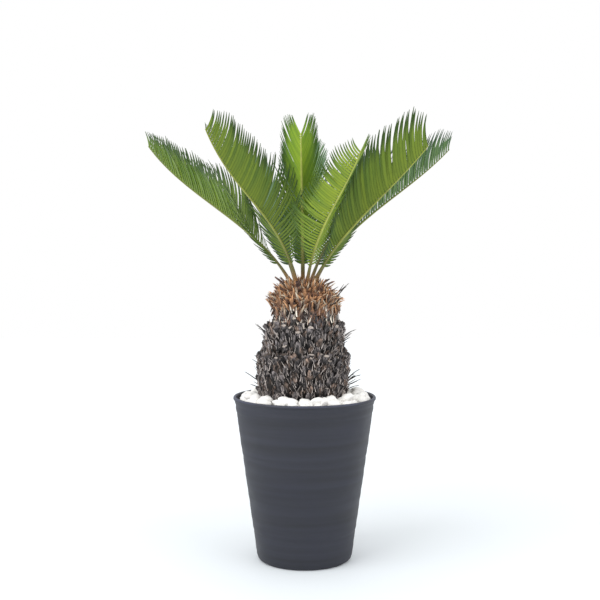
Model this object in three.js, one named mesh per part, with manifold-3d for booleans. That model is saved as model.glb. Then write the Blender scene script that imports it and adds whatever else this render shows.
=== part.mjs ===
// A potted sago palm: a tapered pot filled with soil and white pebbles, a short trunk in
// three tiers of old leaf bases, a scaly bud at its tip and nine feather-shaped fronds.
// Millimetres, +Z up. The origin is the centre of the pot's flat underside, which stands on
// the floor. Azimuths are in degrees from +X towards +Y, and the plant's front faces -Y.
import * as THREE from 'three';
import { mergeVertices } from 'three/addons/utils/BufferGeometryUtils.js';
import Module from 'manifold-3d';

const wasm = await Module();
wasm.setup();

// ---- Driving dimensions ------------------------------------------------------------------

const CLEARANCE = 0.3; // between two pieces that rest on each other

const POT_HEIGHT = 287;
const POT_RIM_RADIUS = 125;
const POT_FOOT_RADIUS = 83;
const POT_FOOT_ROUNDING = 7;
const POT_WALL = 4;
const POT_FLOOR = 6;
const POT_LIP = 5; // height of the slightly thicker band at the rim
const POT_LIP_PROUD = 1.2;
const POT_SIDES = 40;

const SOIL_LEVEL = 262;

const PEBBLE_RADIUS = 12.4;
const PEBBLE_SPREAD = 0.08; // how far a pebble's size may differ, as a share
const PEBBLE_FLATNESS = 0.7;
const PEBBLE_TILT = 28; // degrees, at most
const PEBBLE_SPACING = 27;
const PEBBLE_BED = 14; // the layer that the showing pebbles lie in
// Distance from the pot's centre and height of a stone's middle above the soil, row by row.
const PEBBLE_ROWS = [
  { radius: 106.5, lift: 17 },
  { radius: 86.5, lift: 20 },
];

const TRUNK_OFFSET = -3; // the trunk stands a little to the left of the pot's centre
const TRUNK_SIDES = 24;
const TRUNK_TIP = 472;
// Height and radius of the trunk under its leaf bases: three tiers with a neck between them.
const TRUNK_OUTLINE = [
  [SOIL_LEVEL + CLEARANCE, 69],
  [300, 73],
  [350, 73],
  [366, 67],
  [374, 62],
  [404, 62],
  [416, 52],
  [428, 48],
  [446, 52],
  [460, 59],
  [TRUNK_TIP, 50],
];
// How far the trunk's middle lies to the right of its foot's, by height.
const TRUNK_SWAY = [[340, 0], [390, 2], [430, 6], [448, 6], [464, 2], [TRUNK_TIP, 0]];
const LEAF_BASE_AREA = 655; // of trunk surface for each leaf base
const LEAF_BASE_START = 303;
const LEAF_BASE_END = 462;
const LEAF_BASE = { length: 26, width: 25, thickness: 14, bluntness: 0.3, lean: 38 };
const LEAF_BASE_SUNK = 9;
const GOLDEN_ANGLE = 137.508;

const BUD_BASE = TRUNK_TIP + CLEARANCE;
const BUD_OUTLINE = [
  [BUD_BASE, 46],
  [480, 42],
  [487, 29],
  [491, 12],
];
const BUD_SCALES = 28;
const BUD_SCALE = { length: 26, width: 9, thickness: 5 };
// Where the innermost and the outermost bud scale stand: distance from the trunk's axis,
// height above the bud's base, and lean from upright.
const BUD_RADII = [8, 36];
const BUD_HEIGHTS = [9, 5];
const BUD_LEANS = [8, 62];

const FROND_BASE = 478; // height where a frond's stem starts, inside the bud
const STEM_PART = 0.13; // share of a frond's length that is a bare stem
const RIB_WIDTH = [9.5, 6.5, 1.8]; // at the foot, where the leaflets start, and at the tip
const RIB_DEPTH = 0.9; // of its width
const RIB_STEPS = 11;
const SOCKET_STEPS = 2; // of the rib's steps that the bud's sockets follow
const SOCKET_EXTRA = 0.54; // on the stem's half-width, which leaves its flat sides 0.3 clear
const SPINE_STEPS = 64;
const LEAFLETS_A_SIDE = 22;
const LEAFLET_WIDTH = 9;
const LEAFLET_SHARE = 0.86; // of the room between its neighbours that a leaflet may fill
const LEAFLET_ROOT = 0.3; // share of the rib's half-width at which a leaflet starts inside it
const LEAFLET_THICKNESS = 1.7;
// What a leaflet has to have free at its tip and on either side. Its edges are sharp, so that
// its width needs more than its thickness.
const LEAFLET_ROOM = { length: 0.5, width: 2, thickness: 0.5 };
const NO_ROOM = { length: 0, width: 0, thickness: 0 };
const LEAFLET_ARCH = 7; // degrees that a leaflet turns towards the tip, either side of its mean
// Along the leafy part of the rib, from its start to the tip: the leaflets' share of their
// full length, their angle to the rib and the angle of each row above the rib's sides.
const LEAFLET_LENGTHS = [[0, 0.17], [0.12, 0.4], [0.28, 0.88], [0.45, 1.03], [0.65, 1], [0.85, 0.8], [1, 0.38]];
const LEAFLET_ANGLES = [[0, 60], [0.15, 51], [0.35, 48], [0.6, 49], [0.85, 43], [1, 38]];
const ROW_ANGLES = [[0, -22], [0.1, 4], [0.28, 40], [0.5, 50], [1, 46]];

// foot: distance from the trunk's axis to the stem's foot. lean: the rib's angle from upright
// at its foot, middle and tip. leaf: the longest leaflet. vee: how far the two rows are folded
// up, 1 being usual. roll: turn about the rib at its foot, and twist: how much it gains by the tip.
// skirt: factor on the length of the lowest leaflets. leftTip, rightTip: the same for the last
// leaflets of either row.
const FROND_FOOT = 18;
const FRONDS = [
  { name: 'front', azimuth: 269, foot: -3, lean: [11, 50, 44], length: 334, leaf: 82,
    vee: 1.24, roll: 0, twist: 5, skirt: 1.3 },
  { name: 'front_right', azimuth: 291, lean: [17, 54, 45], length: 316, leaf: 74,
    vee: 0.63, roll: 24, twist: 1, skirt: 1.8, rightTip: 1.1 },
  { name: 'front_left', azimuth: 236, lean: [16, 55, 34], length: 356, leaf: 85,
    vee: 1.17, roll: -3, twist: -15, skirt: 1.8, leftTip: 1.05, rightTip: 0.35 },
  { name: 'right_front', azimuth: 327, lean: [28, 48, 43], length: 322, leaf: 105,
    vee: 1.22, roll: -19, twist: -1, skirt: 0.6, leftTip: 0.35, rightTip: 1.2 },
  { name: 'right', azimuth: 0, lean: [21, 51, 43], length: 340, leaf: 84,
    vee: 1.04, roll: -2, twist: -9 },
  { name: 'left', azimuth: 168, lean: [27, 54, 37], length: 368, leaf: 82,
    vee: 1.02, roll: -3, twist: 4, skirt: 2.3, leftTip: 0.92, rightTip: 0.92 },
  { name: 'back_left', azimuth: 126, lean: [24, 50, 46], length: 335, leaf: 84,
    vee: 1, roll: 2, twist: -6 },
  { name: 'back', azimuth: 90, lean: [20, 44, 46], length: 330, leaf: 90,
    vee: 1, roll: 0, twist: 3 },
  { name: 'back_right', azimuth: 50, lean: [24, 50, 44], length: 335, leaf: 84,
    vee: 1, roll: -2, twist: 5 },
];

// ---- Helpers -----------------------------------------------------------------------------

const radians = THREE.MathUtils.degToRad;

// A repeatable random number from 0 to 1 for the whole number n.
function noise(n) {
  const wave = Math.sin(n * 127.1 + 11.7) * 43758.5453;
  return wave - Math.floor(wave);
}

// The value at x of a line through the points [x, value], level beyond its ends.
function along(points, x) {
  const next = points.findIndex((point) => point[0] > x);
  if (next === 0) return points[0][1];
  if (next < 0) return points[points.length - 1][1];
  const [x0, y0] = points[next - 1];
  const [x1, y1] = points[next];
  return THREE.MathUtils.mapLinear(x, x0, x1, y0, y1);
}

// The solid inside a closed three.js geometry. Where a ring of vertices is drawn to a point,
// the faces that have lost their area are dropped.
function solidOf(geometry) {
  geometry.deleteAttribute('normal');
  geometry.deleteAttribute('uv');
  const merged = mergeVertices(geometry);
  const faces = [];
  for (let i = 0; i < merged.index.count; i += 3) {
    const [a, b, c] = [0, 1, 2].map((corner) => merged.index.getX(i + corner));
    if (a !== b && b !== c && c !== a) faces.push(a, b, c);
  }
  const vertProperties = merged.attributes.position.array;
  const triVerts = new Uint32Array(faces);
  return new wasm.Manifold(new wasm.Mesh({ numProp: 3, vertProperties, triVerts }));
}

// The largest of the bodies that a cut has left, without loose scraps.
function largest(solid) {
  const bodies = solid.decompose();
  return bodies.reduce((best, body) => (body.volume() > best.volume() ? body : best));
}

function joined(solids) {
  return solids.reduce((whole, solid) => whole.add(solid));
}

// The joined solids of a long list, paired up so that no join is much larger than it has to be.
function joinedInPairs(solids) {
  if (solids.length < 3) return joined(solids);
  const half = Math.ceil(solids.length / 2);
  return joinedInPairs(solids.slice(0, half)).add(joinedInPairs(solids.slice(half)));
}

const touches = (a, b) => !a.intersect(b).isEmpty();

// A solid of revolution from points [height, radius]. Its middle stands at x = middle(height).
function turned(outline, sides, middle = () => 0) {
  const first = outline[0];
  const last = outline[outline.length - 1];
  const profile = [[first[0], 0], ...outline, [last[0], 0]];
  const points = profile.map(([height, radius]) => new THREE.Vector2(radius, height));
  const geometry = new THREE.LatheGeometry(points, sides).rotateX(Math.PI / 2);
  const position = geometry.attributes.position;
  for (let i = 0; i < position.count; i++) {
    position.setX(i, position.getX(i) + middle(position.getZ(i)));
  }
  return solidOf(geometry);
}

// A limb of a few sides: at(u) gives its centre and its two half-widths at u, from 0 to 1.
function limb(sides, steps, at) {
  const geometry = new THREE.CylinderGeometry(1, 1, 1, sides, steps);
  const position = geometry.attributes.position;
  for (let i = 0; i < position.count; i++) {
    const { centre, across, over } = at(position.getY(i) + 0.5);
    const vertex = centre.clone();
    vertex.addScaledVector(across, position.getX(i));
    vertex.addScaledVector(over, position.getZ(i));
    position.setXYZ(i, vertex.x, vertex.y, vertex.z);
  }
  return solidOf(geometry);
}

const outwards = (azimuth) => new THREE.Vector3(Math.cos(azimuth), Math.sin(azimuth), 0);

// The direction that leans from upright by `angle` towards the level direction `out`.
const leaning = (out, angle) => out.clone().multiplyScalar(Math.sin(angle)).setZ(Math.cos(angle));

// ---- Pot, soil and pebbles ---------------------------------------------------------------

const WALL_LINE = [[0, POT_FOOT_RADIUS], [POT_HEIGHT, POT_RIM_RADIUS - POT_LIP_PROUD]];
const wallRadius = (height) => along(WALL_LINE, height);
const insideRadius = (height) => wallRadius(height) - POT_WALL;

function pot() {
  const profile = new THREE.Path();
  profile.moveTo(0, 0);
  profile.lineTo(POT_FOOT_RADIUS - POT_FOOT_ROUNDING, 0);
  profile.quadraticCurveTo(POT_FOOT_RADIUS, 0, wallRadius(POT_FOOT_ROUNDING), POT_FOOT_ROUNDING);
  profile.lineTo(wallRadius(POT_HEIGHT - POT_LIP), POT_HEIGHT - POT_LIP);
  profile.lineTo(POT_RIM_RADIUS, POT_HEIGHT - POT_LIP + POT_LIP_PROUD);
  profile.lineTo(POT_RIM_RADIUS, POT_HEIGHT - 1);
  profile.lineTo(POT_RIM_RADIUS - 1, POT_HEIGHT);
  profile.lineTo(insideRadius(POT_HEIGHT), POT_HEIGHT);
  profile.lineTo(insideRadius(POT_FLOOR), POT_FLOOR);
  profile.lineTo(0, POT_FLOOR);
  const points = profile.getPoints(4);
  return solidOf(new THREE.LatheGeometry(points, POT_SIDES).rotateX(Math.PI / 2));
}

// The room inside the pot between two heights, clear of its wall.
function room(bottom, top) {
  const outline = [bottom, top].map((height) => [height, insideRadius(height) - CLEARANCE]);
  return turned(outline, POT_SIDES);
}

const soil = () => room(POT_FLOOR + CLEARANCE, SOIL_LEVEL);

// Rounded stones in a bed of smaller ones, round the foot of the trunk.
function pebbles() {
  const floor = SOIL_LEVEL + CLEARANCE;
  const bed = room(floor, floor + PEBBLE_BED);
  const stones = PEBBLE_ROWS.flatMap(({ radius, lift }, row) => {
    const count = Math.round((2 * Math.PI * radius) / PEBBLE_SPACING);
    return Array.from({ length: count }, (_, i) => {
      const chance = noise(100 * row + i);
      const azimuth = (2 * Math.PI * (i + chance / 4)) / count;
      const size = 1 + PEBBLE_SPREAD * (2 * chance - 1);
      const stone = new THREE.IcosahedronGeometry(PEBBLE_RADIUS * size);
      stone.scale(1, 1, PEBBLE_FLATNESS).rotateX(radians(PEBBLE_TILT * chance)).rotateZ(azimuth);
      const place = outwards(azimuth).multiplyScalar(radius).setZ(SOIL_LEVEL + lift);
      return solidOf(stone.translate(place.x, place.y, place.z));
    });
  });
  const foot = along(TRUNK_OUTLINE, POT_HEIGHT) + CLEARANCE;
  const hole = turned([[0, foot], [2 * POT_HEIGHT, foot]], TRUNK_SIDES, () => TRUNK_OFFSET);
  return joinedInPairs([bed, ...stones]).intersect(room(floor, 2 * POT_HEIGHT)).subtract(hole);
}

// ---- Trunk and bud -----------------------------------------------------------------------

const trunkMiddle = (height) => TRUNK_OFFSET + along(TRUNK_SWAY, height);

// The stump of an old frond: a flat, blunt scale that stands out and up from the trunk.
function leafBase(azimuth, height) {
  const out = outwards(azimuth);
  const across = new THREE.Vector3(0, 0, 1).cross(out);
  const grow = leaning(out, radians(LEAF_BASE.lean));
  const over = across.clone().cross(grow);
  const radius = along(TRUNK_OUTLINE, height) - LEAF_BASE_SUNK;
  const foot = out.clone().multiplyScalar(radius).setZ(height - LEAF_BASE_SUNK);
  foot.x += trunkMiddle(height);
  return limb(4, 1, (u) => {
    const size = THREE.MathUtils.lerp(1, LEAF_BASE.bluntness, u) / 2;
    return {
      centre: foot.clone().addScaledVector(grow, LEAF_BASE.length * u),
      across: across.clone().multiplyScalar(LEAF_BASE.width * size),
      over: over.clone().multiplyScalar(LEAF_BASE.thickness * size),
    };
  });
}

// The leaf bases stand on a spiral that turns by the golden angle from each to the next.
function trunk() {
  const stem = turned(TRUNK_OUTLINE, TRUNK_SIDES, trunkMiddle);
  const leafBases = [];
  let height = LEAF_BASE_START;
  while (height < LEAF_BASE_END) {
    leafBases.push(leafBase(radians(GOLDEN_ANGLE * leafBases.length), height));
    height += LEAF_BASE_AREA / (2 * Math.PI * along(TRUNK_OUTLINE, height));
  }
  const below = turned([[BUD_BASE - CLEARANCE, 200], [2 * BUD_BASE, 200]], TRUNK_SIDES);
  return largest(joinedInPairs([stem, ...leafBases]).subtract(below));
}

// A pointed scale of the bud, in a ring of them round the fronds' stems.
function budScale(i) {
  const share = (i + 0.5) / BUD_SCALES;
  const out = outwards(radians(GOLDEN_ANGLE * i));
  const across = new THREE.Vector3(0, 0, 1).cross(out);
  const [radius, height, lean] = [BUD_RADII, BUD_HEIGHTS, BUD_LEANS].map(([inner, outer]) => {
    return THREE.MathUtils.lerp(inner, outer, share);
  });
  const grow = leaning(out, radians(lean));
  const over = across.clone().cross(grow);
  const foot = out.clone().multiplyScalar(radius).setZ(BUD_BASE + height);
  foot.x += TRUNK_OFFSET;
  return limb(3, 1, (u) => ({
    centre: foot.clone().addScaledVector(grow, BUD_SCALE.length * u),
    across: across.clone().multiplyScalar((BUD_SCALE.width / 2) * (1 - u)),
    over: over.clone().multiplyScalar((BUD_SCALE.thickness / 2) * (1 - u)),
  }));
}

// The bud has a socket for each frond's stem.
function bud(stems) {
  const dome = turned(BUD_OUTLINE, TRUNK_SIDES, trunkMiddle);
  const scales = Array.from({ length: BUD_SCALES }, (_, i) => budScale(i));
  const top = turned([[BUD_BASE, 100], [2 * BUD_BASE, 100]], TRUNK_SIDES);
  return largest(joinedInPairs([dome, ...scales]).intersect(top).subtract(joined(stems)));
}

// ---- Fronds ------------------------------------------------------------------------------

// The rib's line, worked out step by step from how far it leans: at each step its point, its
// direction, the side it shows on its left and the upper side between the rows of leaflets.
function spineOf({ azimuth, foot = FROND_FOOT, lean, length, roll, twist }) {
  const out = outwards(radians(azimuth));
  const left = new THREE.Vector3(0, 0, 1).cross(out);
  const [atFoot, atMiddle, atTip] = lean;
  const point = out.clone().multiplyScalar(foot).setZ(FROND_BASE);
  point.x += TRUNK_OFFSET;
  const spine = [];
  for (let i = 0; i <= SPINE_STEPS; i++) {
    const s = i / SPINE_STEPS;
    // The parabola through the lean at the foot, the middle and the tip.
    const angle = atFoot * (1 - s) * (1 - 2 * s) + atMiddle * 4 * s * (1 - s) + atTip * s * (2 * s - 1);
    const forward = leaning(out, radians(angle));
    const upper = forward.clone().cross(left);
    const turn = radians(roll + twist * s);
    if (i > 0) {
      const mean = forward.clone().add(spine[i - 1].forward).multiplyScalar(0.5);
      point.addScaledVector(mean, length / SPINE_STEPS);
    }
    spine.push({
      point: point.clone(),
      forward,
      side: left.clone().applyAxisAngle(forward, turn),
      upper: upper.applyAxisAngle(forward, turn),
    });
  }
  return spine;
}

function frameAt(spine, s) {
  const i = Math.min(Math.floor(s * SPINE_STEPS), SPINE_STEPS - 1);
  const share = s * SPINE_STEPS - i;
  const frame = {};
  for (const key of ['point', 'forward', 'side', 'upper']) {
    frame[key] = spine[i][key].clone().lerp(spine[i + 1][key], share);
  }
  return frame;
}

function ribHalfWidth(s) {
  const [atFoot, atLeaflets, atTip] = RIB_WIDTH;
  return along([[0, atFoot], [STEM_PART, atLeaflets], [1, atTip]], s) / 2;
}

// The stem and rib in one piece, or its first few steps. `extra` makes it thicker and lowers
// its foot, for the socket that it stands in.
function rib(spine, steps, extra) {
  return limb(4, steps, (u) => {
    const s = (u * steps) / RIB_STEPS;
    const { point, forward, side, upper } = frameAt(spine, s);
    const width = ribHalfWidth(s) + extra;
    return {
      centre: u === 0 ? point.addScaledVector(forward, -extra) : point,
      across: side.clone().multiplyScalar(width),
      over: upper.clone().multiplyScalar(-width * RIB_DEPTH),
    };
  });
}

// The share of its frond's longest leaflet that the one at u has.
function lengthShare({ skirt = 1, leftTip = 1, rightTip = 1 }, row, u) {
  const tip = row > 0 ? leftTip : rightTip;
  const swell = [[0, Math.min(1, skirt)], [0.15, skirt], [0.5, 1], [0.7, 1], [1, tip]];
  return along(LEAFLET_LENGTHS, u) * along(swell, u);
}

// A leaflet is a slim three-sided blade that arches towards the frond's tip. `spare` is added to
// its length and on either side, to keep its neighbours clear of it.
function leaflet(frond, spine, row, u, spare, shortening) {
  const s = STEM_PART + (1 - STEM_PART) * u;
  const { point, forward, side, upper } = frameAt(spine, s);
  const length = frond.leaf * lengthShare(frond, row, u) * shortening + spare.length;
  const turn = radians(along(LEAFLET_ANGLES, u));
  const rise = radians(along(ROW_ANGLES, u) * frond.vee);
  const out = side.clone().multiplyScalar(row * Math.cos(rise)).addScaledVector(upper, Math.sin(rise));
  const spacing = ((1 - STEM_PART) * frond.length) / LEAFLETS_A_SIDE;
  const attached = Math.min(LEAFLET_WIDTH / Math.sin(turn), LEAFLET_SHARE * spacing);
  const heading = (angle) => {
    return forward.clone().multiplyScalar(Math.cos(angle)).addScaledVector(out, Math.sin(angle));
  };
  const arch = radians(LEAFLET_ARCH) / 2;
  return limb(3, 2, (v) => {
    // The first half heads a little away from the tip, the second half a little towards it.
    const centre = point.clone().addScaledVector(out, LEAFLET_ROOT * ribHalfWidth(s));
    centre.addScaledVector(heading(turn + arch), length * Math.min(v, 0.5));
    centre.addScaledVector(heading(turn - arch), length * Math.max(v - 0.5, 0));
    const across = forward.clone();
    const over = across.clone().cross(heading(turn)).normalize();
    const fullness = along([[0, 0.6], [0.5, 1], [1, 0]], v) / 2;
    return {
      centre,
      across: across.multiplyScalar(attached * fullness + spare.width),
      over: over.multiplyScalar(LEAFLET_THICKNESS * fullness + spare.thickness),
    };
  });
}

// A leaflet that would touch another frond, the trunk or the bud is shortened, or left out.
function frond(entry, obstacles) {
  const spine = spineOf(entry);
  const blades = [];
  for (const row of [-1, 1]) {
    for (let i = 0; i < LEAFLETS_A_SIDE; i++) {
      const u = (i + 0.5) / LEAFLETS_A_SIDE;
      const fits = (shortening) => {
        const grown = leaflet(entry, spine, row, u, LEAFLET_ROOM, shortening);
        return !obstacles.some((obstacle) => touches(grown, obstacle));
      };
      const shortening = [1, 0.8, 0.6, 0.4].find(fits);
      if (shortening) blades.push(leaflet(entry, spine, row, u, NO_ROOM, shortening));
    }
  }
  return largest(joinedInPairs([rib(spine, RIB_STEPS, 0), ...blades]));
}

// ---- The plant ---------------------------------------------------------------------------

const finish = (color, roughness) => new THREE.MeshStandardMaterial({ color, roughness, metalness: 0 });

function mesh(name, solid, material) {
  const { vertProperties, triVerts } = solid.getMesh();
  const geometry = new THREE.BufferGeometry();
  geometry.setAttribute('position', new THREE.BufferAttribute(vertProperties, 3));
  geometry.setIndex(new THREE.BufferAttribute(triVerts, 1));
  geometry.computeVertexNormals();
  const made = new THREE.Mesh(geometry, material);
  made.name = name;
  return made;
}

const plant = new THREE.Group();
plant.name = 'potted_sago_palm';
plant.add(mesh('pot', pot(), finish(0x4a4d58, 0.75)));
plant.add(mesh('soil', soil(), finish(0x2b221b, 1)));
plant.add(mesh('pebbles', pebbles(), finish(0xe9e8e4, 0.6)));

const trunkSolid = trunk();
plant.add(mesh('trunk', trunkSolid, finish(0x4b4138, 0.95)));

const ribs = FRONDS.map((entry) => rib(spineOf(entry), RIB_STEPS, 0));
const sockets = FRONDS.map((entry) => rib(spineOf(entry), SOCKET_STEPS, SOCKET_EXTRA));
const budSolid = bud(sockets);
plant.add(mesh('bud', budSolid, finish(0xa5714e, 0.9)));

const made = [trunkSolid, budSolid];
FRONDS.forEach((entry, i) => {
  const otherRibs = ribs.filter((_, other) => other !== i);
  const solid = frond(entry, [...made, ...otherRibs]);
  made.push(solid);
  plant.add(mesh(`frond_${entry.name}`, solid, finish(0x5f8a2c, 0.5)));
});

export default plant;
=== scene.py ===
"""The finish of a potted sago palm: a turned grey pot, white pebbles, a scaly trunk and nine fronds."""
import math
import random
from collections import namedtuple

import bmesh
import bpy
import numpy as np
from bpy.props import FloatProperty, FloatVectorProperty, IntProperty, PointerProperty
from mathutils import Matrix, Vector, noise


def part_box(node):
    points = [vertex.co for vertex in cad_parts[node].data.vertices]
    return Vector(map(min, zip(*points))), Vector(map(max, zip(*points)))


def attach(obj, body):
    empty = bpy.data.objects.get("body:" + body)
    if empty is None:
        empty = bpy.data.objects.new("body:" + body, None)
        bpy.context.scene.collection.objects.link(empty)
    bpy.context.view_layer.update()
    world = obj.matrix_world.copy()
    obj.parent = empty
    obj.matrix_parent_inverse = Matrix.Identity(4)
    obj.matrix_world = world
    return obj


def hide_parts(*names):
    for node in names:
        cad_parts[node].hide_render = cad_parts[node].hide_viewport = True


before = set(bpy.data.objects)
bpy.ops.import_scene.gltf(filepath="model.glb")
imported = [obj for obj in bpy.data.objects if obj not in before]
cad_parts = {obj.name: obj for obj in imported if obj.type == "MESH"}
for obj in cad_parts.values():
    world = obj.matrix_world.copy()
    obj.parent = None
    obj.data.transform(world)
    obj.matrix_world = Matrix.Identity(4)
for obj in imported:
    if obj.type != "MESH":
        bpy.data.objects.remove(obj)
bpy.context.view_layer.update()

bl_info = {
    "name": "Potted Sago Palm",
    "version": (1, 0, 0),
    "blender": (4, 5, 0),
    "location": "3D View > Sidebar > Sago Palm",
    "description": "Builds a sago palm in a tapered pot with white pebbles",
    "category": "Add Mesh",
}

# Lengths are in metres. Angles in tables are in degrees, and heights are measured from the floor.
UP = Vector((0, 0, 1))
GOLDEN_ANGLE = math.radians(137.508)
CENTRE = 0.001  # radius at which a turned piece is closed round its axis

# The pot.
POT_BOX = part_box("pot")
POT_HEIGHT = POT_BOX[1].z
RIM_RADIUS = POT_BOX[1].x
POT_FLOOR = 0.006
FOOT_ROUNDING = 0.007
LIP_STEP = 0.0012
LIP = 0.005
# The lip's section outside, by (in from the rim, down from the top), and inside, by (out from the
# inner wall, down from the top).
LIP_OUTSIDE = ((0.0006, LIP), (0, LIP - 0.0008), (0, LIP / 2), (0.0004, 0.0009), (0.0014, 0))
LIP_INSIDE = ((0.0012, 0), (0.0003, 0.0008), (0, LIP / 2))
WALL_TOP = POT_HEIGHT - LIP - 0.001
WALL_RINGS = 150
INNER_HEIGHTS = (0.26, 0.2, 0.1, POT_FLOOR + 0.002)
# Fine turned rings: the rates of their waves in radians to a metre, and their strength by height.
RING_RATES = (210, 340, 95)
RING_STRENGTHS = ((0, 0), (0.03, 1), (0.262, 1), (0.281, 0))
# Grooves turned in the pot's wall: (height, depth).
GROOVES = ((0.2725, 0.0009), (0.2590, 0.0008), (0.1830, 0.0006), (0.0520, 0.0005))
GROOVE_WIDTH = 0.003

# The plug of soil: the heights of its top and underside, how far its underside is in from the
# pot's foot, and the pot's inner radius by height.
SOIL_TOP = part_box("soil")[1].z
SOIL_FOOT = 0.0066
SOIL_INSET = 0.0065
POT_ROOM = ((0, 0.079), (POT_HEIGHT, 0.1198))
# Pebbles in rings: (radius, height, count), and those that lie on top: (azimuth, radius, height).
PEBBLE_RINGS = (
    (0.083, 0.2685, 20), (0.1055, 0.2685, 26), (0.0945, 0.275, 24), (0.0835, 0.2835, 21),
    (0.1040, 0.2835, 27), (0.0945, 0.2875, 22),
)
TOP_PEBBLES = (
    (301, 0.090, 0.2940), (222, 0.093, 0.2885), (249, 0.091, 0.2905), (283, 0.092, 0.2905),
    (346, 0.101, 0.2925), (14, 0.100, 0.2915), (193, 0.100, 0.2910), (320, 0.095, 0.2910),
    (62, 0.092, 0.2925), (105, 0.090, 0.2930), (150, 0.094, 0.2920),
)
# Least and most length of a pebble, of the usual, and its width and thickness, of its length.
PEBBLE_LENGTHS = (0.74, 1.14)
PEBBLE_WIDTHS = (0.74, 0.9)
PEBBLE_THICKNESSES = (0.5, 0.66)

# The trunk by height: its radius under the leaf bases, the radius of their tips, and how far its
# middle lies to the right of its foot's.
TRUNK_X = -0.003
TRUNK_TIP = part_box("trunk")[1].z
TRUNK_OUTLINE = (
    (SOIL_TOP, 0.066), (0.300, 0.071), (0.350, 0.072), (0.362, 0.066), (0.370, 0.060), (0.404, 0.060),
    (0.414, 0.050), (0.428, 0.047), (0.446, 0.050), (0.460, 0.056), (TRUNK_TIP, 0.046),
)
TIP_OUTLINE = (
    (SOIL_TOP, 0.074), (0.300, 0.079), (0.362, 0.082), (0.367, 0.071), (0.408, 0.070), (0.415, 0.069),
    (0.420, 0.056), (0.442, 0.054), (0.450, 0.058), (0.456, 0.064), (0.463, 0.067), (0.469, 0.060),
    (0.476, 0.048), (0.490, 0.036),
)
TRUNK_SWAY = ((0.340, 0), (0.390, 0.002), (0.430, 0.006), (0.448, 0.006), (0.464, 0.002), (TRUNK_TIP, 0))
RUST_BASE = 0.442
CORE_RINGS = 56
# A band is what a layer covers of the trunk: (lowest, highest, spacing), where the old leaf bases
# have their spacing and width from the settings. A section is a blade's (width, thickness), and a
# size is that with its length.
BASE_BAND = (0.272, 0.436)
BASE_THICKNESS = 0.0085
CUT_BAND = (0.282, 0.404, 0.034)
CUT_SIZE = (0.0095, 0.0070, 0.022)
NECK_BAND = (0.418, 0.450, 0.0050)
STRAND_SECTION = (0.0028, 0.0016)
RUST_BAND = (RUST_BASE, 0.485, 0.0045)
RUST_SECTION = (0.0046, 0.0022)
FIBRE_BAND = (0.280, 0.440, 0.0066)
THREAD_SECTION = (0.0011, 0.0009)
# How far old leaf bases and young scales lean out, by height.
BASE_LEANS = (
    (0.27, 34), (0.33, 26), (0.36, 34), (0.369, 18), (0.40, 24), (0.412, 34), (0.42, 12), (0.45, 16),
)
SCALE_LEANS = ((0.445, 8), (0.453, 34), (0.461, 50), (0.468, 38), (0.474, 20), (0.486, 8))
# Rings of thick cut leaf bases along the top of each tier: (height, radius, count, lean).
TIER_RINGS = (
    (0.3630, 0.0820, 30, 34), (0.3660, 0.0735, 27, 22), (0.4130, 0.0700, 26, 34), (0.4170, 0.0610, 23, 20),
)
RING_SIZE = (0.0115, 0.0080, 0.022)
# The pieces that a layer is dealt out over: (share, name, colour of the ends or strands).
CUT_KINDS = ((62, "dark_cut_bases", (0.11, 0.085, 0.07)), (38, "pale_cut_bases", (0.56, 0.49, 0.44)))
STRAND_KINDS = (
    (32, "dark_strands", (0.035, 0.024, 0.020)), (26, "grey_strands", (0.31, 0.18, 0.13)),
    (42, "cream_strands", (0.92, 0.74, 0.63)),
)
# Kinds of young scales: (share, name, width of the usual, factors on the rust colour).
SCALE_KINDS = (
    (45, "rust", 1, (1, 1, 1)), (36, "cream", 0.7, (1.1, 1.6, 2.45)), (19, "umber", 0.9, (0.28, 0.32, 0.5)),
)
# Tufts of dry spikes: (azimuth, height).
SPIKE_TUFTS = (
    (4, 0.388), (350, 0.374), (357, 0.309), (12, 0.300), (183, 0.306), (176, 0.392), (205, 0.345),
    (18, 0.464), (255, 0.325), (300, 0.384), (80, 0.39), (120, 0.31), (60, 0.33), (95, 0.462), (2, 0.292),
)
SPIKE_SECTION = (0.0022, 0.0018)
SPIKE_COLOUR = (0.06, 0.05, 0.042)

# The bud: its dome's outline (radius, height), the height where its scales start by radius, and
# their lean and length by their place in the order from the middle, 0, to the edge, 1.
BUD_FOOT = TRUNK_TIP + 0.0003
BUD_OUTLINE = (
    (CENTRE, BUD_FOOT), (0.044, BUD_FOOT), (0.041, 0.476), (0.034, 0.479), (0.024, 0.4815), (0.012, 0.483),
    (CENTRE, 0.4835),
)
BUD_RADIUS = 0.041
BUD_SCALES = 260
BUD_ROOTS = ((0, 0.477), (0.026, 0.474), (0.044, 0.4695))
BUD_LEANS = ((0, 3), (0.5, 14), (0.8, 28), (1, 50))
BUD_LENGTHS = ((0, 0.017), (0.5, 0.019), (1, 0.015))
BUD_SECTION = (0.0044, 0.0020)
# Stumps of old stalks round the bud: (azimuth, lean).
STALKS = ((186, 44), (205, 56), (352, 60), (334, 52), (150, 45), (118, 52), (62, 46), (30, 55), (262, 66))
STALK_RADIUS = 0.024
STALK_HEIGHT = 0.474
STALK_SECTION = (0.0085, 0.0034)
STALK_COLOUR = (0.13, 0.075, 0.06)
STALK_END_COLOUR = (0.16, 0.12, 0.11)

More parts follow.
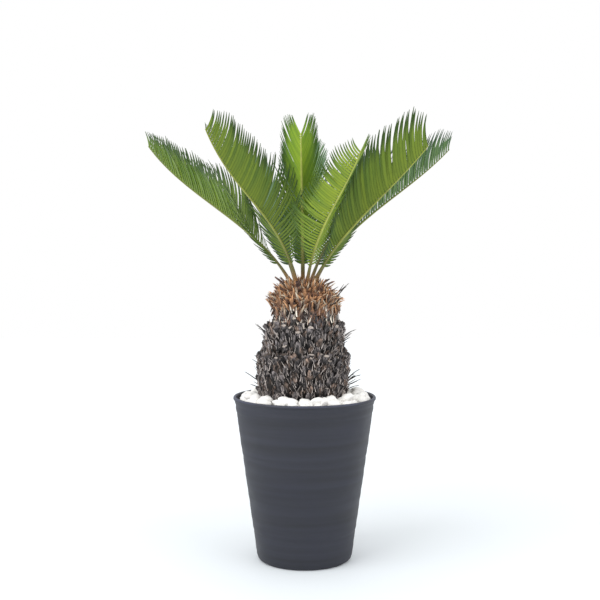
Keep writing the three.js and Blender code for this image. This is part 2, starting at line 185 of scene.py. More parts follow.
# One row for each frond, in place of what USUAL_FROND says. azimuth: from +X towards +Y. foot: the
# stem's distance from the trunk's axis. lean: the rib's angle from upright at its foot, middle and
# tip. length: of the rib. leaf: length of a long leaflet. vee: how far the rows are folded up, of
# the usual. roll: turn about the rib at its foot, and twist: how much it gains by the tip. tone:
# which leaf colour. The rest are factors. skirt: on the length of the low leaflets. left_tip and
# right_tip: on that of the last ones. slim: on the width of all. low: on that of the low ones.
# rib: on the rib's width.
USUAL_FROND = dict(foot=0.018, skirt=1, left_tip=1, right_tip=1, slim=1, low=1, rib=1)
FRONDS = {
    "front": dict(
        azimuth=269, foot=-0.003, lean=(11, 50, 44), length=0.334, leaf=0.082, vee=1.24, roll=0, twist=5,
        skirt=1.3, tone="sunlit", rib=1.3),
    "front_right": dict(
        azimuth=291, lean=(17, 54, 45), length=0.316, leaf=0.074, vee=0.63, roll=24, twist=1,
        right_tip=1.1, skirt=1.8, tone="yellow", slim=0.88),
    "front_left": dict(
        azimuth=236, lean=(16, 55, 34), length=0.356, leaf=0.085, vee=1.17, roll=-3, twist=-15,
        left_tip=1.05, right_tip=0.35, skirt=1.8, tone="olive"),
    "right_front": dict(
        azimuth=327, lean=(28, 48, 43), length=0.322, leaf=0.105, vee=1.22, roll=-19, twist=-1,
        skirt=0.6, left_tip=0.35, right_tip=1.2, tone="olive", slim=1.2, low=1.5),
    "right": dict(
        azimuth=0, lean=(21, 51, 43), length=0.34, leaf=0.084, vee=1.04, roll=-2, twist=-9,
        tone="deep", low=1.4),
    "left": dict(
        azimuth=168, lean=(27, 54, 37), length=0.368, leaf=0.082, vee=1.02, roll=-3, twist=4,
        skirt=2.3, left_tip=0.92, right_tip=0.92, tone="green", slim=1.12, low=1.4),
    "back_left": dict(
        azimuth=126, lean=(24, 50, 46), length=0.335, leaf=0.084, vee=1, roll=2, twist=-6,
        tone="silver", slim=1.25),
    "back": dict(
        azimuth=90, lean=(20, 44, 46), length=0.33, leaf=0.09, vee=1, roll=0, twist=3,
        tone="silver", slim=1.2),
    "back_right": dict(
        azimuth=50, lean=(24, 50, 44), length=0.335, leaf=0.084, vee=1, roll=-2, twist=5,
        tone="deep", slim=1.2),
}
FROND_BASE = 0.478
STEM_PART = 0.13
SPINE_STEPS = 64
# The stem's radius by the share of the way along the rib, up to where the leaflets start.
STEM_RADII = ((0, 0.0047), (0.05, 0.0036))
RIB_TIP_RADIUS = 0.0007
# By a leaflet's place in its row, from 0 to 1: its length and width, of the usual, its angle to
# the rib, how far its row is raised, and its turn about its own axis, like the slat of a louvre.
LEAFLET_LENGTHS = ((0, 0.17), (0.12, 0.4), (0.28, 0.88), (0.45, 1.03), (0.65, 1), (0.85, 0.8), (1, 0.38))
LEAFLET_WIDTHS = ((0, 0.5), (0.15, 0.62), (0.35, 0.74), (0.5, 0.9), (0.7, 0.95), (0.85, 0.88), (1, 0.7))
LEAFLET_ANGLES = ((0, 60), (0.15, 51), (0.35, 48), (0.6, 49), (0.85, 43), (1, 38))
ROW_ANGLES = ((0, -22), (0.1, 4), (0.28, 40), (0.5, 50), (1, 46))
LEAFLET_TWISTS = ((0, 26), (0.25, 22), (0.5, 13), (1, 13))
LEAFLET_ARCH = 7
LEAFLET_OVERLAP = 1.35
STRAY_SHARE = 0.06  # of the leaflets stand out of line, by this many times the usual chance
STRAY = 6
# Each leaf colour's gloss, how dark it gets at a leaflet's tip, and how much painted shade it takes low on
# the frond.
TONES = {
    "sunlit": (0.2, 0.85, 0.7), "yellow": (0.2, 0.85, 0.25), "green": (0.4, 0.85, 0.05),
    "olive": (0.2, 0.85, 0.35), "deep": (0.5, 0.8, 0.6), "silver": (0.6, 0.3, 1.0),
}

# Outlines (x, y) of blades, and their stations (share of the length, width, thickness, shift).
LEAFLET_OUTLINE = ((-0.5, -0.45), (-0.26, 0.3), (0, 0.08), (0.26, 0.3), (0.5, -0.45), (0, -0.3))
SCALE_OUTLINE = ((-0.5, -0.1), (-0.2, 0.4), (0.25, 0.45), (0.5, 0), (0.15, -0.45), (-0.25, -0.4))
FIBRE_OUTLINE = ((-0.5, -0.3), (0.5, -0.3), (0, 0.6))
LEAFLET_STATIONS = (
    (0, 0.6, 1.2, 0), (0.06, 0.98, 1, 0), (0.25, 1, 1, 0), (0.5, 0.92, 1, 0), (0.68, 0.7, 0.9, 0),
    (0.86, 0.48, 0.8, 0), (1, 0.12, 0.5, 0),
)
WHOLE_STATIONS = (
    (0, 0.9, 1, 0), (0.3, 1.05, 1.05, 0), (0.6, 0.95, 0.95, -0.05), (0.84, 0.66, 0.75, 0), (1, 0.3, 0.4, 0.1),
)
CUT_STATIONS = (
    (0, 0.85, 0.9, 0), (0.35, 1, 1, 0), (0.7, 0.98, 0.95, 0), (0.93, 0.95, 0.9, 0), (1, 0.8, 0.74, 0),
)
SCALE_STATIONS = (
    (0, 0.8, 1, 0), (0.25, 1, 1, 0.1), (0.5, 0.85, 0.9, 0), (0.75, 0.55, 0.7, -0.1),
    (0.92, 0.28, 0.5, 0.2), (1, 0.08, 0.2, 0.4),
)

# The lamps: (name, place, share of the key power, size), and the point that they face.
LAMPS = (("key_lamp", (-1.55, -1.25, 1.9), 1, 1.9), ("fill_lamp", (1.6, -1.2, 1.2), 0.3, 1.6))
LIT_POINT = Vector((0, 0, 0.45))
CAMERA_PLACE = (-0.00804, -1.748, 0.538)
CAMERA_TILT = 2.71
SENSOR_WIDTH = 36


# ---- Sizes and colours that a user may change

def length_property(name, description, default):
    return FloatProperty(
        name=name, description=description, default=default, min=0, unit="LENGTH", precision=4)


def colour_property(name, description, default):
    return FloatVectorProperty(
        name=name, description=description, default=default, size=3, min=0, max=1, subtype="COLOR")


def seed_property(default):
    return IntProperty(name="Seed", description="Number that the chances start from", default=default)


class PotSettings(bpy.types.PropertyGroup):
    foot_radius: length_property("Foot radius", "Radius of the pot at the floor", 0.083)
    wall: length_property("Wall", "Thickness of the pot's wall", 0.004)
    ring_depth: length_property("Ring depth", "Depth of the turned rings in the wall", 0.0004)
    colour: colour_property("Colour", "Colour of the pot", (0.0135, 0.0150, 0.0250))
    pebble_size: length_property("Pebble size", "Length of a usual pebble", 0.025)
    pebble_colour: colour_property("Pebble colour", "Colour of the stones", (0.93, 0.92, 0.90))
    soil_colour: colour_property("Soil colour", "Colour of the potting soil", (0.035, 0.024, 0.016))


class TrunkSettings(bpy.types.PropertyGroup):
    base_length: length_property("Leaf base length", "Length of an old leaf base", 0.024)
    base_width: length_property("Leaf base width", "Width of an old leaf base", 0.0125)
    base_area: length_property("Leaf base spacing", "Side of the square of bark for each leaf base", 0.0110)
    old_colour: colour_property("Old colour", "Colour of the old leaf bases", (0.066, 0.058, 0.058))
    rust_colour: colour_property("Rust colour", "Colour of the young leaf bases", (0.67, 0.31, 0.15))
    fibre_colour: colour_property("Fibre colour", "Colour of the torn fibres", (0.52, 0.46, 0.43))
    seed: seed_property(7)


class FrondSettings(bpy.types.PropertyGroup):
    spacing: length_property("Leaflet spacing", "Distance between leaflets along the rib", 0.0056)
    width: length_property("Leaflet width", "Width of a leaflet", 0.0066)
    thickness: length_property("Leaflet thickness", "Thickness of a leaflet", 0.0008)
    rib_width: length_property("Rib width", "Width of the rib where the leaflets start", 0.0054)
    # The sunlit and yellow colours are leaf greens lightened as painted light for the fronds in the most
    # light; deep is a real blue-green darkened as painted shade.
    sunlit: colour_property("Sunlit", "Colour of the brightest fronds", (0.19, 0.31, 0.028))
    yellow: colour_property("Yellow", "Colour of the frond that has the most light", (0.22, 0.315, 0.03))
    green: colour_property("Green", "Colour of most fronds", (0.125, 0.21, 0.024))
    olive: colour_property("Olive", "Colour of the older fronds", (0.125, 0.19, 0.022))
    deep: colour_property("Deep", "Colour of the blue-green fronds", (0.075, 0.155, 0.04))
    silver: colour_property("Silver", "Colour of the fronds that shine at the back", (0.12, 0.23, 0.085))
    # The rib colour and the shaded rib paint the ribs in light and in shade.
    rib_colour: colour_property("Rib colour", "Colour of the ribs in the light", (0.42, 0.47, 0.09))
    shaded_rib: colour_property("Shaded rib", "Colour of the ribs in the shade", (0.20, 0.23, 0.055))
    stem_colour: colour_property("Stem colour", "Colour of the bare stems", (0.13, 0.115, 0.045))
    seed: seed_property(3)


class StageSettings(bpy.types.PropertyGroup):
    floor_size: length_property("Floor size", "Side of the floor", 9.0)
    floor_colour: colour_property("Floor colour", "Colour of the floor", (0.853, 0.900, 0.935))
    sky: FloatProperty(name="Sky", description="Strength of the even light all round", default=1.0, min=0)
    key_power: FloatProperty(
        name="Key power", description="Power of the main lamp", default=30, min=0, unit="POWER")
    lens: FloatProperty(name="Lens", description="Focal length in millimetres", default=60, min=1)


# ---- Node trees

def maths(operation, swapped=False):
    """A method of Value that joins it and another value or number by this operation."""
    def method(self, other):
        values = (other, self) if swapped else (self, other)
        return self.nodes.make("ShaderNodeMath", {"operation": operation}, dict(enumerate(values)))
    return method


class Value:
    """An output of a node, which can be added, subtracted and multiplied like a number."""

    def __init__(self, nodes, socket):
        self.nodes = nodes
        self.socket = socket

    __add__ = __radd__ = maths("ADD")
    __sub__ = maths("SUBTRACT")
    __rsub__ = maths("SUBTRACT", swapped=True)
    __mul__ = __rmul__ = maths("MULTIPLY")


class Nodes:
    """Makes and links the nodes of one tree."""

    def __init__(self, tree):
        self.tree = tree

    def make(self, kind, settings=None, inputs=None, output=0):
        """A node of this kind. Its settings are set first, then its sockets, by name or number."""
        node = self.tree.nodes.new(kind)
        for key, value in (settings or {}).items():
            setattr(node, key, value)
        for key, value in (inputs or {}).items():
            self.feed(self.pick(node.inputs, key), value)
        return Value(self, self.pick(node.outputs, output))

    @staticmethod
    def pick(sockets, key):
        usable = [socket for socket in sockets if socket.enabled]
        if isinstance(key, int):
            return usable[key]
        return next(socket for socket in usable if socket.name == key)

    def feed(self, socket, value):
        if isinstance(value, Value):
            self.tree.links.new(value.socket, socket)
        elif socket.type == "RGBA" and len(value) == 3:
            socket.default_value = (*value, 1)
        else:
            socket.default_value = value


class Finish(Nodes):
    """A material whose nodes end in one Principled shader."""

    def __init__(self, name, **constants):
        self.material = bpy.data.materials.new(name)
        self.material.use_nodes = True
        super().__init__(self.material.node_tree)
        self.set(**constants)

    def set(self, **values):
        for key, value in values.items():
            self.feed(self.tree.nodes["Principled BSDF"].inputs[key.replace("_", " ")], value)

    def place(self, stretch=(1, 1, 1)):
        where = self.make("ShaderNodeTexCoord", output="Object")
        return self.make("ShaderNodeMapping", None, {"Vector": where, "Scale": stretch})

    def noise(self, scale, detail=3, stretch=(1, 1, 1), roughness=0.5):
        return self.make("ShaderNodeTexNoise", None, {
            "Vector": self.place(stretch), "Scale": scale, "Detail": detail, "Roughness": roughness})

    def height(self):
        return self.make("ShaderNodeSeparateXYZ", None, {"Vector": self.place()}, output="Z")

    def attribute(self, name):
        return self.make("ShaderNodeAttribute", {"attribute_name": name}, output="Fac")

    def levels(self, factor, low, high):
        """The factor stretched so that low becomes 0 and high becomes 1."""
        return self.make("ShaderNodeMapRange", {"clamp": True}, {
            "Value": factor, "From Min": low, "From Max": high, "To Min": 0.0, "To Max": 1.0})

    def mix(self, factor, first, second):
        return self.make("ShaderNodeMix", {"data_type": "RGBA"}, {
            "Factor": factor, "A": first, "B": second}, output="Result")

    def tint(self, base, factor, low, high, amount, colour):
        """The base with up to this amount of the colour, from none where the factor is at low."""
        return self.mix(self.levels(factor, low, high) * amount, base, colour)

    def painted(self, base, relief=None, depth=0.0, strength=1.0):
        """The material in this base colour, with the relief as a bump of this depth."""
        self.set(Base_Color=base)
        if relief:
            self.set(Normal=self.make("ShaderNodeBump", None, {
                "Height": relief, "Distance": depth, "Strength": strength}))
        return self.material


def shade(colour, *factors):
    """The colour times one factor, or times one for each channel."""
    return tuple(min(1, channel * factor) for channel, factor in zip(colour, factors * 3))


class Growth(Nodes):
    """Geometry nodes that grow a mesh out of a source object, with inputs {title: (kind, value)}."""

    def __init__(self, name, source, inputs):
        super().__init__(bpy.data.node_groups.new(name, "GeometryNodeTree"))
        self.name = name
        self.source = source
        self.values = {}
        sockets = self.tree.interface
        sockets.new_socket("Source", in_out="INPUT", socket_type="NodeSocketGeometry")
        for title, (kind, value) in inputs.items():
            socket = sockets.new_socket(title, in_out="INPUT", socket_type="NodeSocket" + kind)
            self.values[socket.identifier] = value
        sockets.new_socket("Mesh", in_out="OUTPUT", socket_type="NodeSocketGeometry")
        start = self.tree.nodes.new("NodeGroupInput")
        self.given = {title: Value(self, start.outputs[title]) for title in ("Source", *inputs)}

    def named(self, title, kind="FLOAT"):
        return self.make("GeometryNodeInputNamedAttribute", {"data_type": kind}, {"Name": title})

    def chance(self, low, high, number, kind="FLOAT"):
        """A value by chance. The number keeps it apart from the tree's other chances."""
        return self.make("FunctionNodeRandomValue", {"data_type": kind}, {
            "Min": low, "Max": high, "Seed": self.given["Seed"] + number})

    def scaled(self, vector, factor):
        return self.make("ShaderNodeVectorMath", {"operation": "SCALE"}, {
            "Vector": vector, "Scale": factor})

    def coloured(self, mesh, material, selection=True):
        return self.make("GeometryNodeSetMaterial", None, {
            "Geometry": mesh, "Selection": selection, "Material": material})

    def grown(self, mesh):
        """What the nodes make, as a plain object of its own. The source and the nodes are used up."""
        self.feed(self.tree.nodes.new("NodeGroupOutput").inputs[0], mesh)
        modifier = self.source.modifiers.new("growth", "NODES")
        modifier.node_group = self.tree
        for identifier, value in self.values.items():
            modifier[identifier] = value
        bpy.context.view_layer.update()
        graph = bpy.context.evaluated_depsgraph_get()
        made = bpy.data.meshes.new_from_object(
            self.source.evaluated_get(graph), preserve_all_data_layers=True, depsgraph=graph)
        if not made.polygons:
            raise RuntimeError(self.name + ": the nodes made no faces")
        bpy.data.objects.remove(self.source)
        bpy.data.node_groups.remove(self.tree)
        made.name = self.name
        return added(self.name, made)


# ---- Finishes

RIBBED = (1, 1, 0.25)  # noise drawn out along the height


def pot_finish(colour):
    finish = Finish("slate_grey_pot", Roughness=0.5)
    bands = finish.noise(9, 4, stretch=(0.25, 0.25, 9))
    cloud = finish.noise(14, 5)
    # A painted highlight lightens the top of the rim in patches, where the lip catches the light.
    painted_rim_highlight = finish.levels(finish.height(), POT_HEIGHT - 0.004, POT_HEIGHT) * finish.levels(cloud, 0.3, 0.55)
    base = finish.mix(finish.levels(bands, 0.3, 0.7), shade(colour, 0.6), shade(colour, 1.3))
    base = finish.tint(base, cloud, 0.45, 0.8, 0.35, shade(colour, 1.7))
    base = finish.mix(painted_rim_highlight * 0.7, base, shade(colour, 5))
    finish.set(Roughness=0.42 + 0.25 * finish.levels(cloud, 0.2, 0.8))
    return finish.painted(base, bands * 0.6 + finish.noise(260, 3) * 0.4, 0.0004, 0.5)


def pebble_finish(colour):
    finish = Finish("white_pebble", Roughness=0.55)
    base = finish.tint(colour, finish.noise(60, 5), 0.45, 0.75, 0.4, shade(colour, 0.86, 0.83, 0.78))
    base = finish.tint(base, finish.attribute("tone"), 0.7, 1, 0.3, shade(colour, 0.82, 0.8, 0.8))
    return finish.painted(base, finish.noise(420, 4), 0.0004, 0.4)


def soil_finish(colour):
    finish = Finish("potting_soil", Roughness=0.95)
    crumbs = finish.noise(220, 6)
    base = finish.mix(finish.levels(crumbs, 0.35, 0.7), shade(colour, 0.6), shade(colour, 1.8))
    return finish.painted(base, crumbs, 0.003)


def core_finish(dark, pale, rust):
    """The stem behind the leaf bases: dark bark below, rusty wool between the young scales, with painted
    shade in the hollows.
    """
    finish = Finish("bark", Roughness=0.85)
    ribs = finish.noise(230, 5, stretch=RIBBED, roughness=0.65)
    young = finish.levels(finish.height(), RUST_BASE - 0.004, RUST_BASE + 0.008)
    # Painted shade in the ribs' hollows: the dark bark below, and the darkened wool among the young scales.
    hollows = finish.mix(young, dark, shade(rust, 0.3))
    base = finish.mix(finish.levels(ribs, 0.44, 0.62), hollows, finish.mix(young, pale, rust))
    return finish.painted(base, ribs, 0.0016)


def bark_finish(name, colour, dark, pale):
    """Dry, ribbed bark: painted shade in the hollows and at a leaf base's root; pale ribs and edges, partly
    painted highlight.
    """
    finish = Finish(name, Roughness=0.8)
    ribs = finish.noise(230, 5, stretch=RIBBED, roughness=0.65)
    # Painted shade at the leaf base's root and in the ribs' hollows, where the bases shade each other, and
    # painted highlight on the raised ribs towards the tip, partly their own pale fibre.
    raised = finish.levels(ribs, 0.44, 0.62) * finish.levels(finish.attribute("along"), 0.3, 0.9)
    painted_light_and_tone = raised * (0.3 + 0.7 * finish.attribute("tone"))
    base = finish.mix(painted_light_and_tone, shade(colour, dark), shade(colour, pale))
    base = finish.tint(base, finish.noise(60, 3), 0.48, 0.68, 0.6, shade(colour, dark))
    return finish.painted(base, ribs, 0.0016)


def scale_finish(name, colour):
    """A young scale: painted shade at its root, among the other scales, and paler at its tip."""
    finish = Finish(name, Roughness=0.65)
    ribs = finish.noise(300, 4, stretch=RIBBED)
    # Painted shade at the root, where the scales crowd together; paler at the tip, more so by the scale's own
    # tone.
    painted_light_and_tone = finish.levels(finish.attribute("along"), 0.3, 1) * (0.3 + 0.7 * finish.attribute("tone"))
    base = finish.mix(painted_light_and_tone, shade(colour, 0.2), shade(colour, 1.75))
    base = finish.tint(base, ribs, 0.45, 0.7, 0.5, shade(colour, 0.35))
    return finish.painted(base, ribs, 0.0006, 0.8)


def end_finish(name, colour):
    """The torn face of a cut leaf base."""
    finish = Finish(name, Roughness=0.9)
    pores = finish.noise(700, 3)
    base = finish.mix(finish.levels(pores, 0.35, 0.7), shade(colour, 0.5), shade(colour, 1.15))
    return finish.painted(base, pores, 0.0006, 0.8)


def fibre_finish(name, colour):
    finish = Finish(name, Roughness=0.8)
    return finish.painted(finish.mix(finish.attribute("tone"), shade(colour, 0.35), shade(colour, 1.25)))


def leaf_finish(name, colour, gloss, tip, low):
    """A waxy leaflet: yellower at its foot and darker at its tip, with painted shade at its edges and low on
    the frond.
    """
    finish = Finish(name, Specular_IOR_Level=gloss)
    along = finish.attribute("along")
    streak = finish.noise(90, 3)
    # Painted shade low on the frond, towards the crown, where the fronds shade each other.
    depth = finish.levels(finish.attribute("share"), 0.5, 0.05)
    # Painted shade along a leaflet's edges, where the overlapping leaflets shade each other.
    edge = finish.levels(finish.attribute("edge"), 0.5, 1) * (0.5 + 0.45 * depth)
    tone = finish.attribute("tone")
    base = finish.mix(tone, shade(colour, 0.66, 0.76, 0.85), shade(colour, 1.2, 1.14, 0.95))
    base = finish.tint(base, along, 0.45, 0.0, 0.35, shade(colour, 1.6, 1.25, 0.8))
    base = finish.tint(base, streak, 0.45, 0.75, 0.2, shade(colour, 0.62, 0.72, 1.1))
    base = finish.mix(edge, base, shade(colour, 0.3, 0.4, 0.45))
    base = finish.mix(depth * low, base, shade(colour, 0.3, 0.36, 0.35))
    base = finish.tint(base, along, 0.55, 0.8, tip, shade(colour, 0.22, 0.32, 0.6))
    finish.set(Roughness=0.36 + 0.2 * streak)
    return finish.painted(base)


def rib_finish(name, colour, stem_colour):
    """A rib with its own colour between the leaflets, brownish green on the stem and rusty at its foot."""
    finish = Finish(name, Roughness=0.45, Specular_IOR_Level=0.3)
    along = finish.attribute("along")
    base = finish.mix(finish.levels(along, 0.03, 0.1), shade(stem_colour, 2.8, 1.6, 1.6), stem_colour)
    base = finish.mix(finish.levels(along, 0.08, 0.34), base, colour)
    base = finish.tint(base, finish.noise(70, 4), 0.35, 0.75, 0.4, shade(stem_colour, 0.6))
    return finish.painted(base, finish.noise(500, 2, stretch=(1, 1, 0.2)), 0.0003, 0.4)


def floor_finish(colour):
    """A paper floor that fades into the white background with its distance."""
    finish = Finish("pale_floor", Roughness=0.7, Emission_Strength=0.16)
    distance = finish.make(
        "ShaderNodeVectorMath", {"operation": "LENGTH"}, {"Vector": finish.place()}, output="Value")
    finish.set(Emission_Color=finish.mix(finish.levels(distance, 0.35, 1.5), (0, 0, 0), (1, 1, 1)))
    return finish.painted(finish.mix(finish.noise(3, 2) * 0.1, colour, shade(colour, 0.97)))


# ---- Meshes

def added(name, data):
    """A new object of this data, in the scene."""
    piece = bpy.data.objects.new(name, data)
    bpy.context.scene.collection.objects.link(piece)
    return piece


def mesh_object(name, vertices, faces, material=None, edges=()):
    mesh = bpy.data.meshes.new(name)
    mesh.from_pydata([tuple(vertex) for vertex in vertices], edges, faces)
    mesh.validate()
    mesh.update()
    if material:
        mesh.materials.append(material)
    return added(name, mesh)


def store(mesh, title, kind, values, domain="POINT"):
    """Stores an attribute that has one value for each point or face."""
    key = "vector" if kind == "FLOAT_VECTOR" else "value"
    mesh.attributes.new(title, kind, domain).data.foreach_set(key, np.ravel(values))


def walls(count, rings):
    """The faces between rings that have so many points each."""
    faces = []
    for low in range(0, (rings - 1) * count, count):
        for i in range(count):
            j = (i + 1) % count
            faces.append((low + i, low + j, low + count + j, low + count + i))
    return faces


def upright(height):
    return UP * height


def unchanged(angle, height):
    return 0


def turned(name, profile, sides, material, middle=upright, wobble=unchanged):
    """A solid of revolution from points (radius, height), about the middle of each height. The
    wobble changes a radius by its place."""
    vertices = []
    for radius, height in profile:
        for i in range(sides):
            angle = 2 * math.pi * i / sides
            vertices.append(middle(height) + outwards(angle) * (radius + wobble(angle, height)))
    foot = tuple(reversed(range(sides)))
    top = tuple(range(len(vertices) - sides, len(vertices)))
    return mesh_object(name, vertices, [foot] + walls(sides, len(profile)) + [top], material)


def smooth(piece, degrees=60):
    """Shades the piece smoothly, apart from edges that are sharper than this."""
    piece.data.shade_smooth()
    piece.data.set_sharp_from_angle(angle=math.radians(degrees))
    return piece


def line(points, x):
    """The value at x of the line through the points."""
    return float(np.interp(x, *zip(*points)))


def outwards(angle):
    return Vector((math.cos(angle), math.sin(angle), 0))


def any_way(chance):
    """A level direction by chance."""
    return outwards(chance.uniform(0, 6.28))


def leaning(out, angle):
    """The direction that leans from upright by this angle towards the level direction."""
    return out * math.sin(angle) + Vector((0, 0, math.cos(angle)))


# Where a shape goes: its foot's place, its (across, over, along) axes, its size along them, how
# far its middle bows, and its share of the way up whatever it grows on.
Spot = namedtuple("Spot", "place axes size bend share", defaults=((0, 0, 0), 0.0))


def scatter(name, spots, shapes, material, cut_material=None, spread=0.1, sway=0.05, seed=1):
    """One mesh with one of the shapes at each spot, turned and sized by the spot with a little
    chance, then bowed along its bend. Cut faces take the cut material. The shapes are used up."""
    collection = bpy.data.collections.new(name + "_shapes")
    for shape in shapes:
        collection.objects.link(shape)
        bpy.context.scene.collection.objects.unlink(shape)
    points = mesh_object(name + "_points", [spot.place for spot in spots], [])
    turns = [Matrix(spot.axes).transposed().to_quaternion() for spot in spots]
    store(points.data, "turn", "QUATERNION", turns)
    store(points.data, "size", "FLOAT_VECTOR", [spot.size for spot in spots])
    store(points.data, "bend", "FLOAT_VECTOR", [spot.bend for spot in spots])
    store(points.data, "share", "FLOAT", [spot.share for spot in spots])
    growth = Growth(name, points, {
        "Shapes": ("Collection", collection), "Count of Shapes": ("Int", len(shapes)),
        "Size Spread": ("Float", spread), "Sway": ("Float", sway), "Seed": ("Int", seed),
        "Material": ("Material", material), "Cut Material": ("Material", cut_material or material),
    })
    make, given = growth.make, growth.given
    choice = make("GeometryNodeCollectionInfo", {"transform_space": "ORIGINAL"}, {
        "Collection": given["Shapes"], "Separate Children": True, "Reset Children": True})
    sizes = growth.chance(1 - given["Size Spread"], 1 + given["Size Spread"], 1)
    placed = make("GeometryNodeInstanceOnPoints", None, {
        "Points": given["Source"], "Instance": choice, "Pick Instance": True,
        "Instance Index": growth.chance(0, given["Count of Shapes"] - 1, 0, "INT"),
        "Rotation": growth.named("turn", "QUATERNION"),
        "Scale": growth.scaled(growth.named("size", "FLOAT_VECTOR"), sizes)})
    sways = [growth.chance(0 - given["Sway"], given["Sway"], number) for number in (2, 3, 4)]
    placed = make("GeometryNodeRotateInstances", None, {
        "Instances": placed, "Rotation": make("ShaderNodeCombineXYZ", None, dict(enumerate(sways))),
        "Local Space": True})
    placed = make("GeometryNodeStoreNamedAttribute", {"data_type": "FLOAT", "domain": "INSTANCE"}, {
        "Geometry": placed, "Name": "tone", "Value": growth.chance(0.0, 1.0, 9)})
    real = make("GeometryNodeRealizeInstances", None, {"Geometry": placed})
    along = growth.named("along")
    shift = growth.scaled(growth.named("bend", "FLOAT_VECTOR"), along * along - along)
    bent = make("GeometryNodeSetPosition", None, {"Geometry": real, "Offset": shift})
    whole = growth.coloured(bent, given["Material"])
    piece = growth.grown(growth.coloured(whole, given["Cut Material"], growth.named("cut", "BOOLEAN")))
    for shape in shapes:
        bpy.data.objects.remove(shape)
    bpy.data.collections.remove(collection)
    return piece


def stem(name, points, radii, material, sides=8, flatness=0.9):
    """A closed stem along the points, whose flattened round section has these radii."""
    last = len(points) - 1
    source = mesh_object(name + "_line", points, [], edges=[(i, i + 1) for i in range(last)])
    store(source.data, "thickness", "FLOAT", radii)
    store(source.data, "along", "FLOAT", [i / last for i in range(len(points))])
    growth = Growth(name, source, {
        "Sides": ("Int", sides), "Flatness": ("Float", flatness), "Material": ("Material", material)})
    make, given = growth.make, growth.given
    circle = make("GeometryNodeCurvePrimitiveCircle", {"mode": "RADIUS"}, {
        "Resolution": given["Sides"], "Radius": 1.0})
    flat = make("ShaderNodeCombineXYZ", None, {0: 1.0, 1: given["Flatness"], 2: 1.0})
    swept = make("GeometryNodeCurveToMesh", None, {
        "Curve": make("GeometryNodeMeshToCurve", None, {"Mesh": given["Source"]}),
        "Profile Curve": make("GeometryNodeTransform", None, {"Geometry": circle, "Scale": flat}),
        "Scale": growth.named("thickness"), "Fill Caps": True})
    real = make("GeometryNodeRealizeInstances", None, {"Geometry": swept})
    return growth.grown(growth.coloured(real, given["Material"]))


def seat(piece, slot, *nodes):
    """Makes the piece part of the plant, in place of these nodes."""
    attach(piece, "root")
    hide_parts(*nodes)


# ---- Shapes that are scattered

def blade_shape(name, stations, outline, ragged, seed, hollow=0):
    """A closed blade along +Z, one unit long, wide and thick.

    A station is (share of the length, width, thickness, sideways shift); the outline is a ring
    of (x, y) points. A hollow end is sunk by this much, and marked as cut.
    """
    chance = random.Random(seed)
    vertices, along, edge = [], [], []
    for share, width, thickness, shift in stations:
        for x, y in outline:
            rough = 1 + ragged * chance.uniform(-1, 1)
            rise = share + ragged * 0.3 * chance.uniform(-1, 1)
            vertices.append((x * width * rough, y * thickness * rough + shift, rise))
            along.append(share)
            edge.append(2 * abs(x))
    count = len(outline)
    faces = [tuple(range(count))] + [face[::-1] for face in walls(count, len(stations))]
    last, middle = len(vertices) - count, len(vertices)
    ends = [tuple(reversed(range(last, middle)))]
    if hollow:
        vertices.append(np.mean(vertices[last:], axis=0) - (0, 0, hollow))
        along.append(1.0)
        edge.append(0.0)
        ends = [(last + (i + 1) % count, last + i, middle) for i in range(count)]
    piece = mesh_object(name, vertices, faces + ends)
    store(piece.data, "along", "FLOAT", along)
    store(piece.data, "edge", "FLOAT", edge)
    store(piece.data, "cut", "BOOLEAN", [False] * len(faces) + [bool(hollow)] * len(ends), "FACE")
    face_out(piece.data)
    return piece


def face_out(mesh):
    """Turns the faces of a closed mesh to the outside."""
    made = bmesh.new()
    made.from_mesh(mesh)
    bmesh.ops.recalc_face_normals(made, faces=made.faces)
    made.to_mesh(mesh)
    made.free()


def blades(title, stations, outline, ragged, seed, count=5, hollow=0):
    """Several blades that differ by chance."""
    return [
        blade_shape(f"{title}_{i}", stations, outline, ragged, seed + i, hollow) for i in range(count)
    ]


def whole_bases(seed):
    """Old leaf bases, rough and blunt."""
    return blades("stub", WHOLE_STATIONS, SCALE_OUTLINE, 0.2, seed)


def cut_bases(seed):
    """Old leaf bases cut across, with a hollow end."""
    return blades("stub", CUT_STATIONS, SCALE_OUTLINE, 0.2, seed, hollow=0.1)


def scale_shapes(seed):
    """Young pointed scales."""
    return blades("scale", SCALE_STATIONS, SCALE_OUTLINE, 0.16, seed)


def fibre_shapes(seed):
    """Thin curved threads."""
    chance = random.Random(seed)
    shapes = []
    for i in range(5):
        stations = [
            (share, 1 - 0.85 * share ** 2, 1 - 0.8 * share ** 2, chance.uniform(-0.8, 0.8))
            for share in (0, 0.2, 0.4, 0.6, 0.8, 1)
        ]
        shapes.append(blade_shape(f"fibre_{i}", stations, FIBRE_OUTLINE, 0.1, seed + i))
    return shapes


def stone_shape(name, seed):
    """A pebble, rounded by wear, about one unit across in each direction."""
    made = bmesh.new()
    bmesh.ops.create_icosphere(made, subdivisions=3, radius=0.5)
    offset = Vector((seed * 7.3, 0, 0))
    for vertex in made.verts:
        direction = vertex.co.normalized()
        lump = 0.16 * noise.noise(direction * 1.3 + offset) + 0.05 * noise.noise(direction * 3.1 + offset)
        vertex.co *= 1 + lump
    mesh = bpy.data.meshes.new(name)
    made.to_mesh(mesh)
    made.free()
    mesh.shade_smooth()
    return added(name, mesh)


# ---- The trunk

def trunk_spots(low, high, spacing, seed):
    """Places in a golden-angle spiral over the trunk: (outward direction, height)."""
    chance = random.Random(seed)
    height, turn, spots = low, seed * 1.7, []
    while height < high:
        out = outwards(turn + chance.uniform(-0.12, 0.12))
        spots.append((out, height + chance.uniform(-0.002, 0.002)))
        height += spacing ** 2 / (2 * math.pi * line(TIP_OUTLINE, height))
        turn += GOLDEN_ANGLE
    return spots


